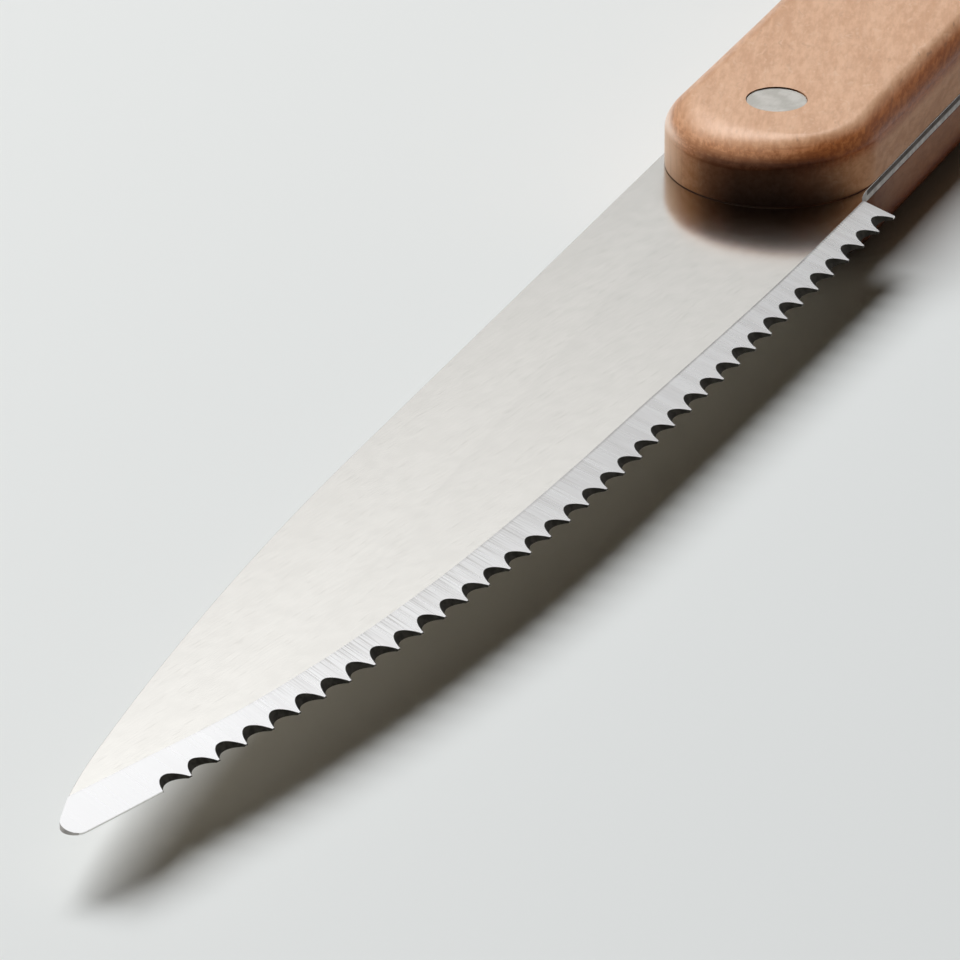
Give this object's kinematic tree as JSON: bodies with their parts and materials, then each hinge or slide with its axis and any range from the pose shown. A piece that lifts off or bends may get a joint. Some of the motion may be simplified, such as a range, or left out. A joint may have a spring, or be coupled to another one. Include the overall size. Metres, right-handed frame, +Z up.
{
  "type": "steak knife",
  "caption": "Steak knife with a serrated, one-sided bevelled steel blade whose full tang is riveted between two round-ended wooden scales.",
  "frame": {"origin": "centre of the knife's bounding box, on the flat underside of the lower scale that it lies on", "axes": "+X from the butt to the tip, +Y from the spine to the cutting edge, +Z up from the lower scale to the upper scale"},
  "size_m": [0.2195, 0.0208, 0.0118],
  "materials": {
    "steel": "satin stainless steel, bevel ground brighter across the edge",
    "beech": "oiled beech with short flecks along the grain",
    "rivet_metal": "sanded flush, satin and slightly blotchy"
  },
  "bodies": {
    "root": {"blade": "steel", "upper_scale": "beech", "lower_scale": "beech", "front_rivet_sleeve": "rivet_metal", "middle_rivet_sleeve": "rivet_metal", "rear_rivet_sleeve": "rivet_metal", "front_rivet_pin": "rivet_metal", "middle_rivet_pin": "rivet_metal", "rear_rivet_pin": "rivet_metal"}
  },
  "joints": []
}
